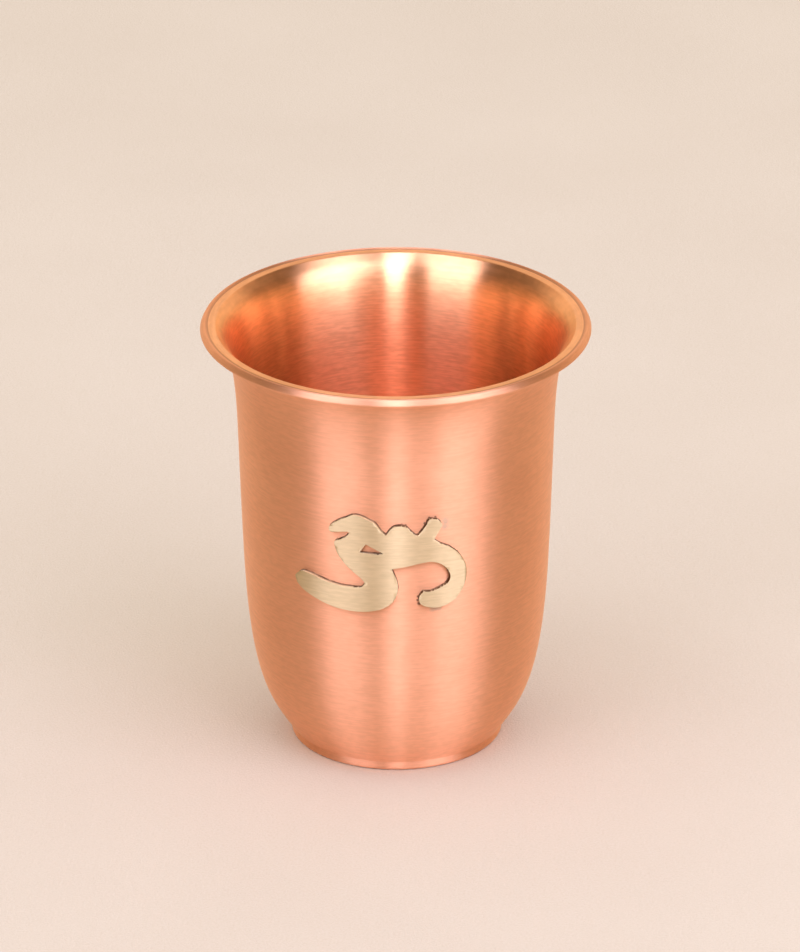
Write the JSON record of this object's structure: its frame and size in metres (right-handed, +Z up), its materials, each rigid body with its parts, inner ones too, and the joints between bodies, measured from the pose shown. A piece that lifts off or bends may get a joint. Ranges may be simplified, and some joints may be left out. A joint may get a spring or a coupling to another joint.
{
  "type": "copper drinking cup",
  "caption": "Spun copper drinking cup with a rounded bowl, a flared rolled lip and a brass Om sign soldered to the wall.",
  "frame": {"origin": "centre of the standing ring under the cup, on the surface it stands on", "axes": "+Z up along the cup's axis; the brass sign is centred on -Y"},
  "size_m": [0.082, 0.082, 0.0936],
  "materials": {
    "copper": "brushed copper, satin, with fine marks running round the cup",
    "brass": "brushed pale brass, satin"
  },
  "bodies": {
    "root": {"cup_body": "copper", "om_sign": "brass"}
  },
  "joints": []
}
